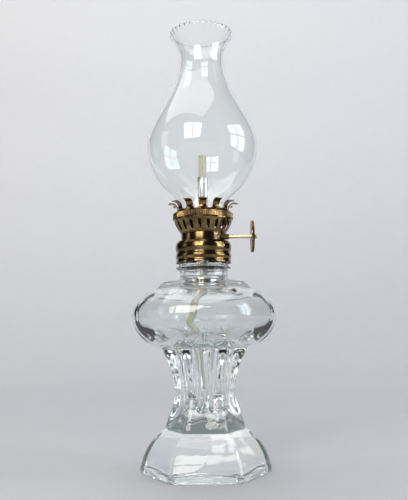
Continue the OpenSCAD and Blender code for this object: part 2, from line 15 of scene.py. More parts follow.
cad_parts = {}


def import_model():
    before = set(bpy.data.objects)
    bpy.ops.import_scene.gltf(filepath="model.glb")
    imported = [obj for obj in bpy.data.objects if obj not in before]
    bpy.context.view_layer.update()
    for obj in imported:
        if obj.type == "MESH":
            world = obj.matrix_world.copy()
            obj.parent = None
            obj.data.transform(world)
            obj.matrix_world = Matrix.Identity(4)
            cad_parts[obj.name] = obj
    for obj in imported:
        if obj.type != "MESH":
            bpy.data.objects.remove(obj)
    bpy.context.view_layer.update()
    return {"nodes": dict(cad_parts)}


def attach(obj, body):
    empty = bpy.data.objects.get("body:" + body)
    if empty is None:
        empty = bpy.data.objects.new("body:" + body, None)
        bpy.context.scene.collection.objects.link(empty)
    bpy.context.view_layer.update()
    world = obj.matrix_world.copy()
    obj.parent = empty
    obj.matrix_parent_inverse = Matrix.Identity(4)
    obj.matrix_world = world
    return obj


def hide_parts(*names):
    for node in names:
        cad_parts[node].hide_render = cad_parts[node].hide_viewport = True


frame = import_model()
MM = 0.001


# Sizes of the lamp

FOOT_R, RING_IN_R, HOLLOW_Z = 33.0, 28.0, 2.6
BAND_Z, STEM_Z, FONT_Z, WIDE_Z = 3.2, 21.0, 61.6, 78.2
EDGE_Z, BEVEL_Z, NECK_Z, RING_Z, LIP_Z = 91.5, 95.4, 96.8, 102.5, 114.6
THREAD_PITCH, THREAD_LOW_Z, THREAD_HIGH_Z, THREAD_HALF, THREAD_DEPTH = 4.2, 105.6, 112.6, 0.95, 0.62
SCALLOP = 1.4
STEM_FOOT_R, WAIST_R, STEM_TOP_R, FLUTE_SHARE = 20.1, 15.6, 22.0, 0.2
FONT_R, SHOULDER_R, SHOULDER_TOP_R = 37.4, 25.6, 20.9
NECK_R, BORE_R, RING_R = 12.6, 9.7, 14.4
ROUND, FOOT_SOFT, FONT_SOFT, SHOULDER_SOFT = 2, 24, 12, 18
CAVITY_R, CAVITY_FLOOR_Z, CAVITY_ROOF_Z, CAVITY_SOFT = 34.2, 65.2, 92.6, 9
WELL_TOP_R, WELL_WAIST_R, WELL_END_Z = 11.6, 7.8, 26.5
WAIST_SHARE = 0.48

CAP_LOW_Z, CAP_Z, SHEET = 105.1, 116.2, 0.4
CUP_R = 9.0
DRUM_R, DRUM_Z = 11.65, 120.4
BASKET_Z, BASKET_LIP_Z, BASKET_LOW_R, BASKET_TOP_R, BASKET_BULGE = 120.8, 127.6, 11.9, 15.35, 0.35
SLOT_COUNT, SLOT_W, SLOT_H, SLOT_PHASE = 20, 1.5, 4.6, 11.0
RIM_LOW_Z, RIM_Z, RIM_R, RIM_TICKS, RIM_CUT = 128.1, 131.1, 15.85, 108, 0.3
CROWN_R, PRONG_R, BAND_TOP_Z, CURL_Z = 14.95, 13.25, 133.1, 133.5
CURL_R, CURL_ANGLE, PRONG_COUNT, PRONG_W = 3.0, 122.0, 12, 3.9
CHIMNEY_Z, CHIMNEY_H = 130.8, 99.8
CHIMNEY_BASE_R, CHIMNEY_BASE_H, BULB_R, BULB_H = 12.9, 6.2, 29.2, 37.0
THROAT_R, THROAT_H, MOUTH_R, CHIMNEY_WALL = 11.5, 86.4, 17.0, 1.0
CRIMPS, CRIMP_OUT, CRIMP_IN, CRIMP_DROP = 32, 0.15, 0.75, 0.3
TUBE_R, TUBE_IN_R, TUBE_LOW_Z, TUBE_Z = 2.72, 2.3, 105.8, 151.0
WINDOW_HALF_W, WINDOW_HALF_H, SEAM_ANGLE, SEAM_HALF, SEAM_DEPTH = 1.7, 3.3, 205, 0.14, 0.09
WICK_R, WICK_Z, WICK_BEND_Z, WICK_TAIL_Z = 2.2, 163.2, 94.8, 41.0
BRAID_STRANDS, BRAID_LAY = 5, 3.4
WICK_SWAY = [0, -1.6, -4.4, -5.3, -5.7, -6.4, -8, -7.6, -5.6, -5, -4.6, -4, -3.2, -2.4, -1.8, -1.4]
SHAFT_R, SHAFT_Y, SHAFT_Z, SHAFT_IN_X, SHAFT_OUT_X = 1.0, -5.32, 118.25, -5.2, 27.9
BUSH_R, BUSH_IN_X, BUSH_OUT_X = 1.45, 7.36, 13.16
THUMB_X, THUMB_T, THUMB_R, THUMB_NOTCHES, THUMB_HOLES = 24.6, 1.4, 8.2, 24, 6


# Making of meshes

def finished_mesh(name, points, faces, paint, body, replaces, crease=35):
    """A piece from points in millimetres, smooth but for edges sharper than crease degrees."""
    mesh = bpy.data.meshes.new(name)
    mesh.from_pydata([tuple(p) for p in np.asarray(points, float) * MM], [], faces)
    piece = bpy.data.objects.new(name, mesh)
    bpy.context.scene.collection.objects.link(piece)
    dress(piece, paint, body, replaces, crease)
    return piece


def dress(piece, paint, body, replaces, crease=35):
    """Gives a finished piece its material and its place on a body."""
    mesh = piece.data
    mesh.materials.clear()
    mesh.materials.append(paint)
    turn_out(mesh)
    mesh.polygons.foreach_set("use_smooth", [True] * len(mesh.polygons))
    mesh.set_sharp_from_angle(angle=math.radians(crease))
    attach(piece, body)
    if replaces:
        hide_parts(*replaces)


def turn_out(mesh):
    """Merges doubled points and turns every face outwards."""
    work = bmesh.new()
    work.from_mesh(mesh)
    bmesh.ops.remove_doubles(work, verts=work.verts, dist=1e-7)
    bmesh.ops.delete(work, geom=[e for e in work.edges if not e.link_faces], context="EDGES")
    bmesh.ops.recalc_face_normals(work, faces=work.faces)
    work.to_mesh(mesh)
    work.free()


def with_modifiers(piece):
    """Applies a piece's modifiers to its mesh."""
    graph = bpy.context.evaluated_depsgraph_get()
    shaped = bpy.data.meshes.new_from_object(piece.evaluated_get(graph))
    piece.modifiers.clear()
    piece.data = shaped


def thicken(piece, thickness, edge):
    """Turns an open sheet into metal of one thickness with softly broken edges."""
    solid = piece.modifiers.new("thickness", "SOLIDIFY")
    solid.thickness, solid.offset, solid.use_even_offset = thickness * MM, -1, True
    bevel = piece.modifiers.new("broken edges", "BEVEL")
    bevel.width, bevel.segments, bevel.limit_method = edge * MM, 2, "ANGLE"
    bevel.angle_limit = math.radians(50)
    with_modifiers(piece)


def rounded(outline, radius, steps=4, closed=True, sharpest=20):
    """An outline of points with each real corner turned into a short curve."""
    points = [np.asarray(p, float) for p in outline]
    last = len(points)
    made = []
    for i, here in enumerate(points):
        if not closed and i in (0, last - 1):
            made.append(here)
            continue
        before, after = points[i - 1] - here, points[(i + 1) % last] - here
        long_in, long_out = np.linalg.norm(before[:2]), np.linalg.norm(after[:2])
        if min(long_in, long_out) < 1e-6:
            made.append(here)
            continue
        cosine = -np.dot(before[:2], after[:2]) / (long_in * long_out)
        if math.degrees(math.acos(max(-1, min(1, cosine)))) < sharpest:
            made.append(here)
            continue
        cut = min(radius, 0.45 * long_in, 0.45 * long_out)
        start, end = here + before * cut / long_in, here + after * cut / long_out
        for k in range(steps + 1):
            t = k / steps
            made.append(start * (1 - t) ** 2 + here * 2 * t * (1 - t) + end * t ** 2)
    return made


def turned(name, outline, paint, body, replaces=(), around=160, along_x=False, shape=None,
           crease=35):
    """A turned piece: a closed outline of (radius, height) carried round an axis.

    shape(angles, radii, heights) may move the rings' radii. With along_x the axis is the winder's.
    """
    outline = np.asarray(outline, float)
    angles = np.arange(around) * 2 * math.pi / around
    radii = np.repeat(outline[:, :1], around, axis=1)
    heights = np.repeat(outline[:, 1:2], around, axis=1)
    if shape:
        radii, heights = shape(angles[None, :], radii, heights)
    x, y = radii * np.cos(angles), radii * np.sin(angles)
    if along_x:
        points = np.stack([heights, SHAFT_Y + x, SHAFT_Z + y], axis=-1)
    else:
        points = np.stack([x, y, heights], axis=-1)
    faces = ring_faces(len(outline), around, closed=True)
    return finished_mesh(name, points.reshape(-1, 3), faces, paint, body, replaces, crease)


def ring_faces(rings, around, closed=False):
    """Quads between rings of points, and from the last ring to the first where closed."""
    faces = []
    for i in range(rings if closed else rings - 1):
        j = (i + 1) % rings
        for k in range(around):
            n = (k + 1) % around
            faces.append((i * around + k, i * around + n, j * around + n, j * around + k))
    return faces


def smooth(t):
    t = np.clip(t, 0, 1)
    return t * t * (3 - 2 * t)


def round_off(t, power):
    """Quarter outline from 1 down to 0, rounded by its power."""
    return np.maximum(0, 1 - t ** power) ** (1 / power)


# Making of materials

class Value:
    """One output of a shader node. Arithmetic on it adds Math nodes."""

    def __init__(self, paint, socket):
        self.paint, self.socket = paint, socket

    def out(self, name):
        return Value(self.paint, self.socket.node.outputs[name])

    def math(self, operation, other=0.0, swap=False):
        pair = {0: other, 1: self} if swap else {0: self, 1: other}
        return self.paint.add("ShaderNodeMath", {"operation": operation}, pair)

    def __add__(self, other):
        return self.math("ADD", other)

    __radd__ = __add__

    def __sub__(self, other):
        return self.math("SUBTRACT", other)

    def __rsub__(self, other):
        return self.math("SUBTRACT", other, swap=True)

    def __mul__(self, other):
        return self.math("MULTIPLY", other)

    __rmul__ = __mul__

    def step(self, low, high):
        """0 below low and 1 above high, with a soft step between."""
        return self.paint.add(
            "ShaderNodeMapRange",
            {"interpolation_type": "SMOOTHSTEP"},
            {"Value": self, "From Min": low, "From Max": high},
        )


class Paint:
    """A material in the making, with the nodes that its values come from."""

    def __init__(self, name, **constants):
        self.material = bpy.data.materials.new(name)
        self.material.use_nodes = True
        self.tree = self.material.node_tree
        self.shader = self.tree.nodes["Principled BSDF"]
        for socket, value in constants.items():
            self.shader.inputs[socket.replace("_", " ")].default_value = value

    def add(self, kind, settings=None, sockets=None):
        """Adds a node, sets it up, then feeds its sockets. Returns its first output."""
        node = self.tree.nodes.new(kind)
        for key, value in (settings or {}).items():
            setattr(node, key, value)
        for key, value in (sockets or {}).items():
            self.feed(node.inputs[key], value)
        return Value(self, node.outputs[0])

    def feed(self, socket, value):
        if isinstance(value, Value):
            self.tree.links.new(value.socket, socket)
        else:
            socket.default_value = value

    def wear(self, **sockets):
        """Feeds the shader's own sockets."""
        for name, value in sockets.items():
            self.feed(self.shader.inputs[name.replace("_", " ")], value)

    def place(self, stretch=(1, 1, 1)):
        """Coordinates on the piece, in metres, stretched along its axes."""
        spot = self.add("ShaderNodeTexCoord").out("Object")
        return self.add("ShaderNodeMapping", None, {"Vector": spot, "Scale": stretch})

    def axes(self):
        """The piece's x, y and z in metres."""
        spot = self.add("ShaderNodeTexCoord").out("Object")
        split = self.add("ShaderNodeSeparateXYZ", None, {0: spot})
        return split.out("X"), split.out("Y"), split.out("Z")

    def noise(self, scale, detail=3.0, roughness=0.5, stretch=(1, 1, 1)):
        return self.add(
            "ShaderNodeTexNoise", None,
            {"Vector": self.place(stretch), "Scale": scale, "Detail": detail, "Roughness": roughness},
        )

    def mix(self, factor, first, second):
        """Blends two colours."""
        first = first if isinstance(first, Value) else (*first, 1)
        second = second if isinstance(second, Value) else (*second, 1)
        mixed = self.add("ShaderNodeMix", {"data_type": "RGBA"}, {0: factor, 6: first, 7: second})
        return Value(self, mixed.socket.node.outputs[2])

    def bump(self, height, depth_mm, strength=1.0):
        sockets = {"Height": height, "Distance": depth_mm * MM, "Strength": strength}
        return self.add("ShaderNodeBump", None, sockets)

    def lamp_pass(self, colour):
        """Lets rays from lamps through the glass, tinted, so that what is behind it is lit."""
        surface = self.tree.nodes["Material Output"].inputs["Surface"]
        shadow = self.add("ShaderNodeLightPath").out("Is Shadow Ray")
        clear = self.add("ShaderNodeBsdfTransparent", None, {0: (*colour, 1)})
        glass = Value(self, self.shader.outputs[0])
        self.feed(surface, self.add("ShaderNodeMixShader", None, {0: shadow, 1: glass, 2: clear}))
        return self.material


def pressed_glass():
    """Clear pressed glass: soft mould ripples, faint scuffs and a grey-green tint."""
    paint = Paint("pressed glass", Transmission_Weight=1.0, IOR=1.52)
    ripple = paint.noise(70, 2, 0.5)
    grain = paint.noise(900, 3, 0.6)
    scuff = paint.noise(260, 4, 0.65).step(0.6, 0.75)
    paint.wear(
        Base_Color=paint.mix(paint.noise(25, 2), (0.93, 0.965, 0.955), (0.96, 0.98, 0.97)),
        Roughness=0.004 + 0.03 * scuff,
        Normal=paint.bump(ripple + 0.02 * grain, 0.16),
    )
    return paint.lamp_pass((0.8, 0.84, 0.83))


def blown_glass():
    """Thin blown glass: slow streaks round the bulb and a trace of grey at the edges."""
    paint = Paint("blown glass", Transmission_Weight=1.0, IOR=1.47)
    streak = paint.noise(40, 2, 0.5, stretch=(1, 1, 0.25))
    dust = paint.noise(700, 3, 0.6).step(0.62, 0.8)
    paint.wear(
        Base_Color=paint.mix(paint.noise(18, 2), (0.965, 0.985, 0.98), (0.98, 0.99, 0.99)),
        Roughness=0.002 + 0.03 * dust,
        Normal=paint.bump(streak, 0.08),
    )
    return paint.lamp_pass((0.93, 0.95, 0.95))


def aged_brass(name, bright, dull, tarnish, gloss, patina):
    """Old brass: worn bright metal, dull brown film and darker spots, with fine scratches."""
    paint = Paint(name, Metallic=1.0)
    cloud = paint.noise(120, 4, 0.6)
    spot = paint.noise(520, 5, 0.7)
    scratch = paint.noise(160, 3, 0.55, stretch=(1, 1, 14))
    film = (cloud * 0.7 + spot * 0.45).step(0.62 - patina * 0.25, 0.86 - patina * 0.25)
    speck = spot.step(0.63, 0.74)
    colour = paint.mix(film, bright, dull)
    paint.wear(
        Base_Color=paint.mix(speck * 0.8, colour, tarnish),
        Roughness=gloss + 0.1 * film + 0.2 * speck,
        Normal=paint.bump(cloud * 0.5 + spot * 0.25 + scratch * 0.12, 0.035),
    )
    return paint.material


def drawn_steel():
    """Bright seamed steel tube with long drawing lines and a little soot near its mouth."""
    paint = Paint("drawn steel", Metallic=1.0)
    lines = paint.noise(900, 3, 0.6, stretch=(1, 1, 0.02))
    stain = paint.noise(260, 4, 0.6)
    height = paint.axes()[2]
    soot = height.step(0.146, 0.151) * stain.step(0.35, 0.6)
    colour = paint.mix(stain.step(0.45, 0.75), (0.74, 0.74, 0.73), (0.5, 0.48, 0.44))
    paint.wear(
        Base_Color=paint.mix(soot * 0.75, colour, (0.12, 0.1, 0.085)),
        Roughness=0.16 + 0.14 * stain + 0.3 * soot,
        Normal=paint.bump(lines, 0.012),
    )
    return paint.material


def braided_cotton():
    """Undyed cotton: fine fibres, cream with painted shade in the furrows of the fibre bump, a touch scorched
    at the tip.
    """
    paint = Paint("braided cotton", Roughness=0.95, Sheen_Weight=0.35, Sheen_Roughness=0.5)
    fibre = paint.noise(2600, 3, 0.7, stretch=(1, 1, 0.22))
    blotch = paint.noise(160, 3, 0.5)
    height = paint.axes()[2]
    tip = height.step(0.1605, 0.1636) * blotch.step(0.35, 0.65)
    # painted shade: the cream is darker where the fibre bump is low, in its furrows
    cream_with_furrow_shade = paint.mix(fibre.step(0.3, 0.7), (0.74, 0.68, 0.55), (0.92, 0.88, 0.78))
    cream_with_furrow_shade = paint.mix(blotch.step(0.5, 0.8) * 0.3, cream_with_furrow_shade, (0.7, 0.6, 0.44))
    paint.wear(
        Base_Color=paint.mix(tip * 0.35, cream_with_furrow_shade, (0.28, 0.2, 0.13)),
        Roughness=0.85 + 0.12 * fibre,
        Normal=paint.bump(fibre, 0.1),
    )
    return paint.material


def oiled_washer():
    """Pressed fibre washer, darkened by oil."""
    paint = Paint("oiled washer", Roughness=0.6)
    fibre = paint.noise(1100, 4, 0.65)
    paint.wear(
        Base_Color=paint.mix(fibre, (0.16, 0.11, 0.07), (0.34, 0.26, 0.17)),
        Roughness=0.45 + 0.3 * fibre,
        Normal=paint.bump(fibre, 0.08),
    )
    return paint.material


PRESSED = pressed_glass()
BLOWN = blown_glass()
BRASS = aged_brass(
    "antique brass", (0.3, 0.205, 0.08), (0.1, 0.068, 0.036), (0.028, 0.022, 0.017), gloss=0.11, patina=0.75)
DARK_BRASS = aged_brass(
    "dull brass", (0.22, 0.15, 0.07), (0.08, 0.058, 0.032), (0.03, 0.022, 0.016), gloss=0.28, patina=0.8)
PALE_BRASS = aged_brass(
    "worn brass", (0.72, 0.6, 0.36), (0.36, 0.27, 0.13), (0.1, 0.075, 0.045), gloss=0.2, patina=0.2)
STEEL = drawn_steel()
COTTON = braided_cotton()
WASHER = oiled_washer()


# Pressed glass base

def soft_hex(angle, power):
    """Corner outline of a soft hexagon: 1 at a corner, less between corners."""
    top = (2 * math.cos(math.radians(30)) ** power) ** (1 / power)
    sides = sum(np.abs(np.cos(angle - math.radians(turn))) ** power for turn in (30, 90, 150))
    return top / sides ** (1 / power)


def stem_radius(t):
    """Radius over the stem's ribs, from its foot at t 0 to the font at t 1."""
    below = np.maximum(0, (WAIST_SHARE - t) / WAIST_SHARE)
    above = np.maximum(0, (t - WAIST_SHARE) / (1 - WAIST_SHARE))
    low = WAIST_R + (STEM_FOOT_R - WAIST_R) * smooth(below ** 1.3)
    high = WAIST_R + (STEM_TOP_R - WAIST_R) * above ** 1.7
    return np.where(t < WAIST_SHARE, low, high)


def base_levels():
    """Levels of the outside from under the foot to the lip: radius, height, sharpness, ribs, scallop."""
    dome_r, dome_z = FOOT_R - 0.55, BAND_Z + 0.3
    levels = [
        (0.0, HOLLOW_Z + 0.4, FOOT_SOFT, 0, 0),
        (RING_IN_R - 6, HOLLOW_Z + 0.3, FOOT_SOFT, 0, 0),
        (RING_IN_R - 1, HOLLOW_Z, FOOT_SOFT, 0, 0),
        (RING_IN_R, 0.0, FOOT_SOFT, 0, 0),
        (FOOT_R - 0.5, 0.0, FOOT_SOFT, 0, 0),
        (FOOT_R, 0.7, FOOT_SOFT, 0, 0),
        (FOOT_R, BAND_Z, FOOT_SOFT, 0, SCALLOP),
        (dome_r, dome_z, FOOT_SOFT, 0, SCALLOP),
    ]
    levels = rounded(levels, 0.5, 4, closed=False)
    for i in range(1, 37):
        t = 1 - (1 - i / 36) ** 1.6
        r = STEM_FOOT_R + (dome_r - STEM_FOOT_R) * round_off(t, 1.5)
        levels.append((r, dome_z + t * (STEM_Z - dome_z), FOOT_SOFT, 0, SCALLOP * (1 - t)))
    for i in range(1, 61):
        t = i / 60
        z, rib = STEM_Z + t * (FONT_Z - STEM_Z), float(smooth(t / 0.3))
        levels.append((float(stem_radius(t)), z, FOOT_SOFT, rib, 0))
    for i in range(30, -1, -1):
        t = (i / 30) ** 0.7
        levels.append((STEM_TOP_R + (FONT_R - STEM_TOP_R) * round_off(t * 0.995, 1.8),
                       WIDE_Z - t * (WIDE_Z - FONT_Z - 0.5), FONT_SOFT, 0, 0))
    for i in range(1, 31):
        t = (i / 30) ** 0.8
        levels.append((SHOULDER_R + (FONT_R - SHOULDER_R) * round_off(t, 1.6),
                       WIDE_Z + t * (EDGE_Z - WIDE_Z), FONT_SOFT, 0, 0))
    top = [
        levels[-1],
        (SHOULDER_TOP_R, BEVEL_Z, SHOULDER_SOFT, 0, 0),
        (NECK_R + 0.8, NECK_Z, ROUND, 0, 0),
        (NECK_R, NECK_Z + 1.2, ROUND, 0, 0),
        (NECK_R, RING_Z - 1.5, ROUND, 0, 0),
        (RING_R, RING_Z - 0.15, ROUND, 0, 0),
        (RING_R, RING_Z + 0.15, ROUND, 0, 0),
        (NECK_R, RING_Z + 1.5, ROUND, 0, 0),
    ]
    levels += rounded(top, 0.6, 4, closed=False)[1:]
    for z in np.linspace(RING_Z + 1.8, LIP_Z - 0.9, 40):
        levels.append((NECK_R, z, ROUND, 0, 0))
    lip = [(NECK_R, LIP_Z - 0.8), (NECK_R, LIP_Z), (BORE_R, LIP_Z), (BORE_R, LIP_Z - 2)]
    levels += rounded([(r, z, ROUND, 0, 0) for r, z in lip], 0.7, 5, closed=False)
    return levels


def cavity_levels():
    """Levels of the fuel space, from the neck's bore down to the well's closed end.

    A minus sign on the ribs' place marks how far a level follows the cavity's soft hexagon.
    """
    levels = []
    for z in np.linspace(LIP_Z - 3, CAVITY_ROOF_Z + 0.4, 12):
        levels.append((BORE_R, z))
    for i in range(30, -1, -1):
        t = (i / 30) ** 0.9
        levels.append((BORE_R + (CAVITY_R - BORE_R) * round_off(t, 2), WIDE_Z + t * (CAVITY_ROOF_Z - WIDE_Z)))
    for i in range(1, 31):
        t = (i / 30) ** 0.9
        r = WELL_TOP_R + 1.5 + (CAVITY_R - WELL_TOP_R - 1.5) * round_off(t, 2)
        levels.append((r, WIDE_Z - t * (WIDE_Z - CAVITY_FLOOR_Z)))
    waist_z = STEM_Z + WAIST_SHARE * (FONT_Z - STEM_Z)
    for i in range(24, -1, -1):
        t = i / 24
        r = WELL_WAIST_R + (WELL_TOP_R - WELL_WAIST_R) * t ** 1.4
        levels.append((r, waist_z + t * (CAVITY_FLOOR_Z - 1.5 - waist_z)))
    for i in range(1, 9):
        t = i / 8
        levels.append((WELL_WAIST_R - 0.6 * t, waist_z - t * (waist_z - WELL_END_Z - 5)))
    for angle in range(80, 0, -8):
        turn = math.radians(angle)
        levels.append(((WELL_WAIST_R - 0.6) * math.sin(turn), WELL_END_Z + 5 * (1 - math.cos(turn))))
    hexed = smooth((np.array([r for r, _ in levels]) - WELL_TOP_R - 2) / 14)
    shaped = [(r, z, ROUND, -share, 0) for (r, z), share in zip(levels, hexed)]
    return shaped + [(0.0, WELL_END_Z, ROUND, 0, 0)]


def neck_thread(angle, z):
    """Height of the rolled screw thread on the neck, under the cap."""
    turn = ((z - THREAD_LOW_Z) / THREAD_PITCH - angle / (2 * math.pi)) % 1.0
    ridge = np.maximum(0, 1 - (np.abs(turn - 0.5) * THREAD_PITCH / THREAD_HALF) ** 2)
    ends = smooth((z - THREAD_LOW_Z) / 1.2) * smooth((THREAD_HIGH_Z - z) / 1.2)
    return THREAD_DEPTH * ridge * ends


def pressed_base():
    around = 240
    share = np.arange(around) / around * 6
    corner, u = np.floor(share), share % 1.0
    angle = (corner + u - 0.62 * np.sin(2 * math.pi * u) / (2 * math.pi)) * math.pi / 3
    rings = []
    for r, z, soft, rib, lift in base_levels() + cavity_levels():
        flute = 1 - FLUTE_SHARE * (1 - np.cos(6 * angle)) / 2
        plan = soft_hex(angle, soft) if soft > ROUND else np.ones(around)
        if rib < 0:
            plan, rib = 1 + rib - rib * soft_hex(angle, CAVITY_SOFT), 0
        radius = r * ((1 - rib) * plan + rib * flute)
        if soft == ROUND and r > NECK_R - 0.01:
            radius = radius + neck_thread(angle, z)
        height = z + lift * (1 - np.cos(6 * angle)) / 2
        rings.append(np.stack([radius * np.cos(angle), radius * np.sin(angle), height], axis=-1))
    return finished_mesh("pressed_glass_base", np.concatenate(rings), ring_faces(len(rings), around),
                         PRESSED, "base", ["glass_base"], crease=60)


# Blown glass chimney

def chimney_radius(z):
    """Outer radius of the chimney at a height over its foot: foot, bulb, shoulder, flared mouth."""
    rise = (z - CHIMNEY_BASE_H) / (BULB_H - CHIMNEY_BASE_H)
    fall = (z - BULB_H) / (THROAT_H - BULB_H)
    mouth = (z - THROAT_H) / (CHIMNEY_H - THROAT_H)
    if z <= CHIMNEY_BASE_H:
        return CHIMNEY_BASE_R
    if z <= BULB_H:
        toe = 1 - math.exp(-((rise / 0.13) ** 1.3))
        return CHIMNEY_BASE_R + (BULB_R - CHIMNEY_BASE_R) * (1 - (1 - rise) ** 2) * toe
    if z <= THROAT_H:
        return THROAT_R + (BULB_R - THROAT_R) * (1 + math.cos(math.pi * fall ** 0.9)) / 2
    return THROAT_R + (MOUTH_R - THROAT_R) * (1 - math.cos(math.pi / 2 * min(1, mouth * 1.1)))


def blown_chimney():
    around = CRIMPS * 12
    angle = np.arange(around) * 2 * math.pi / around
    heights = np.concatenate([
        np.linspace(0.5, CHIMNEY_BASE_H, 6), np.linspace(CHIMNEY_BASE_H, 14, 16)[1:],
        np.linspace(14, THROAT_H, 60)[1:], np.linspace(THROAT_H, CHIMNEY_H - 0.5, 28)[1:],
    ])
    side = np.array([(chimney_radius(z), z) for z in heights])
    slope = np.gradient(side, axis=0)
    normal = np.stack([slope[:, 1], -slope[:, 0]], axis=-1)
    normal /= np.linalg.norm(normal, axis=1)[:, None]
    inner = side - normal * CHIMNEY_WALL
    bore = inner[0][0]
    foot = [(bore, 0.5), (bore + 0.12, 0.12), (bore + 0.5, 0.0),
            (CHIMNEY_BASE_R - 0.5, 0.0), (CHIMNEY_BASE_R - 0.15, 0.12)]
    top_out, top_in = side[-1], inner[-1]
    middle, half = (top_out + top_in) / 2, (top_out - top_in) / 2
    bead = [middle + half * math.cos(a) + np.array([0, 0.5 * math.sin(a)])
            for a in np.linspace(0.3, math.pi - 0.3, 7)]
    outline = foot + list(side) + bead + list(inner[::-1][:-1])
    first_inner = len(foot) + len(side) + len(bead) // 2
    rings = []
    for i, (r, z) in enumerate(outline):
        near = float(smooth((z - (CHIMNEY_H - 3.4)) / 2.8))
        wave = np.abs(np.sin(CRIMPS * angle / 2))
        radius = r + near * (CRIMP_IN if i >= first_inner else CRIMP_OUT) * (wave - 0.6)
        height = z + near * CRIMP_DROP * (wave - 1)
        rings.append(np.stack([radius * np.cos(angle), radius * np.sin(angle), height + CHIMNEY_Z], axis=-1))
    faces = ring_faces(len(rings), around, closed=True)
    return finished_mesh("blown_glass_chimney", np.concatenate(rings), faces,
                         BLOWN, "chimney", ["chimney"], crease=75)


# Brass burner

def cap_side(t):
    """Outer radius of the cap's side from its lip up: a round bead, a groove, a flatter bead."""
    stops = [0, 0.05, 0.1, 0.16, 0.3, 0.42, 0.49, 0.54, 0.6, 0.72, 0.86, 0.95, 1]
    radii = [14.45, 14.5, 14.2, 14.05, 14.55, 14.4, 14.0, 13.98, 14.35, 14.6, 14.55, 14.3, 13.9]
    return float(np.interp(t, stops, radii))


def rolled_cap():
    steps = 72
    raw = np.array([cap_side(i / steps) for i in range(steps + 1)])
    kernel = np.array([1, 2, 3, 4, 3, 2, 1]) / 16
    padded = np.concatenate([[raw[0]] * 3, raw, [raw[-1]] * 3])
    soft = np.convolve(padded, kernel, mode="valid")
    heights = CAP_LOW_Z + (CAP_Z - 0.55 - CAP_LOW_Z) * np.arange(steps + 1) / steps
    outside = list(zip(soft, heights))
    inside = [(r - SHEET, z) for r, z in outside][::-1]
    hole = CUP_R + 0.1
    top = rounded([
        outside[-1], (outside[-1][0] - 0.25, CAP_Z), (hole, CAP_Z),
        (hole, CAP_Z - SHEET), (inside[0][0] - 0.3, CAP_Z - SHEET), inside[0],
    ], 0.5, 5, closed=False)
    return turned("rolled_screw_cap", outside[:-1] + top + inside[1:],
                  BRASS, "burner", ["screw_cap"], around=200)


def bored(piece, radius, x0, x1):
    """Cuts a round hole along the winder's axis."""
    outline = [(0, x0), (radius, x0), (radius, x1), (0, x1)]
    cutter = turned("cutter", outline, BRASS, "burner", around=48, along_x=True)
    cut(piece, cutter)


def cut(piece, cutter):
    """Takes the cutter's shape out of a piece, and removes the cutter."""
    tool = piece.modifiers.new("cut", "BOOLEAN")
    tool.operation, tool.solver, tool.object = "DIFFERENCE", "EXACT", cutter
    with_modifiers(piece)
    bpy.data.objects.remove(cutter)


def burner_drum():
    outline = rounded([
        (DRUM_R, CAP_Z), (DRUM_R, DRUM_Z), (DRUM_R - 2, DRUM_Z),
        (DRUM_R - 2, DRUM_Z - SHEET), (DRUM_R - SHEET, DRUM_Z - SHEET), (DRUM_R - SHEET, CAP_Z),
    ], 0.3, 4)
    drum = turned("brass_drum", outline, BRASS, "burner", ["burner_drum"], 160)
    bored(drum, BUSH_R, 9, 13)
    return drum


def basket_radius(t):
    bulge = BASKET_BULGE * np.sin(math.pi * np.clip(t, 0, 1))
    return BASKET_LOW_R + (BASKET_TOP_R - BASKET_LOW_R) * t + bulge


def slotted_basket():
    """The basket's side: a sheet with a round-ended slot in each of its twenty equal parts."""
    loops, per_side = 7, 14
    ring = 4 * per_side
    side_h = BASKET_LIP_Z - BASKET_Z
    half_u = math.pi * (BASKET_LOW_R + BASKET_TOP_R) / 2 / SLOT_COUNT
    straight = (SLOT_H - SLOT_W) / 2
    edge_u, edge_v = [], []
    for k in range(per_side):
        s = -1 + 2 * k / per_side
        edge_u += [1, -s, -1, s]
        edge_v += [s, 1, -s, -1]
    order = sorted(range(ring), key=lambda i: math.atan2(edge_v[i], edge_u[i]))
    outer = np.array([(edge_u[i] * half_u, edge_v[i] * side_h / 2) for i in order])
    way = np.arctan2(outer[:, 1] / side_h, outer[:, 0] / (2 * half_u))
    slot_u = np.cos(way) * SLOT_W / 2
    to_end = np.sign(np.sin(way)) * straight * smooth(np.abs(np.sin(way)) * 6)
    slot = np.stack([slot_u, np.sin(way) * SLOT_W / 2 + to_end], axis=-1)
    points, faces = [], []
    for part in range(SLOT_COUNT):
        first = len(points)
        middle = math.radians(SLOT_PHASE) + part * 2 * math.pi / SLOT_COUNT
        for loop in range(loops):
            t = (loop / (loops - 1)) ** 1.4
            flat = slot * (1 - t) + outer * t
            for u, v in flat:
                share = (v + side_h / 2) / side_h
                turn = middle + u / half_u * math.pi / SLOT_COUNT
                r = float(basket_radius(share))
                points.append((r * math.cos(turn), r * math.sin(turn), BASKET_Z + v + side_h / 2))
        faces += [[first + i for i in face] for face in ring_faces(loops, ring)]
    basket = finished_mesh("slotted_basket", points, faces, BRASS, "burner", ["air_basket"])
    thicken_sheet(basket, BASKET_Z + 3)
    return basket


def basket_rings():
    """The basket's floor and its upright lip."""
    floor = rounded([
        (DRUM_R - 2, DRUM_Z), (BASKET_LOW_R - 0.1, DRUM_Z), (BASKET_LOW_R + 0.02, BASKET_Z + 0.1),
        (BASKET_LOW_R - 0.4, BASKET_Z + 0.1), (BASKET_LOW_R - 0.6, BASKET_Z), (DRUM_R - 2, BASKET_Z),
    ], 0.15, 3)
    turned("basket_floor", floor, BRASS, "burner")
    low_z, high_z = BASKET_LIP_Z - 0.05, RIM_Z - 0.6
    lip = rounded([
        (BASKET_TOP_R, low_z), (BASKET_TOP_R, high_z),
        (BASKET_TOP_R - SHEET, high_z), (BASKET_TOP_R - SHEET, low_z),
    ], 0.1, 3)
    turned("basket_lip", lip, BRASS, "burner")


